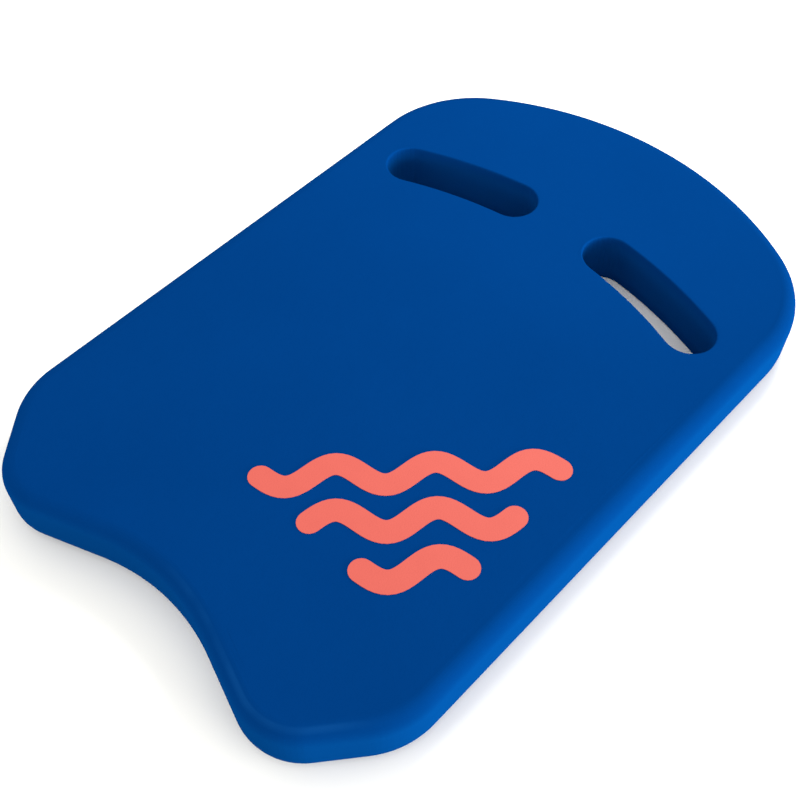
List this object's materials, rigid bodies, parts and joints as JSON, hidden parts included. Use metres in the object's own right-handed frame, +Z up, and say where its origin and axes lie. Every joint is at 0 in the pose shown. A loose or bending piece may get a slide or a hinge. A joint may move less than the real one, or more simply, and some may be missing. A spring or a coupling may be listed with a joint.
{
  "type": "kickboard float",
  "caption": "One-piece moulded foam kickboard with an arched nose, curved hand slots, a body cut-out at the tail and a printed wave motif.",
  "frame": {"origin": "on the underside of the board, midway along its length and width", "axes": "+Y along the board towards the nose, +Z up out of the printed top face, +X to the right seen from above with the nose away"},
  "size_m": [0.29, 0.438, 0.0343],
  "materials": {
    "foam": "matt moulded skin of closed-cell EVA foam, deep blue right through",
    "ink": "coral screen-print ink, satin"
  },
  "bodies": {
    "root": {"foam_board": "foam", "print_wave_long": "ink", "print_wave_middle": "ink", "print_wave_short": "ink"}
  },
  "joints": []
}
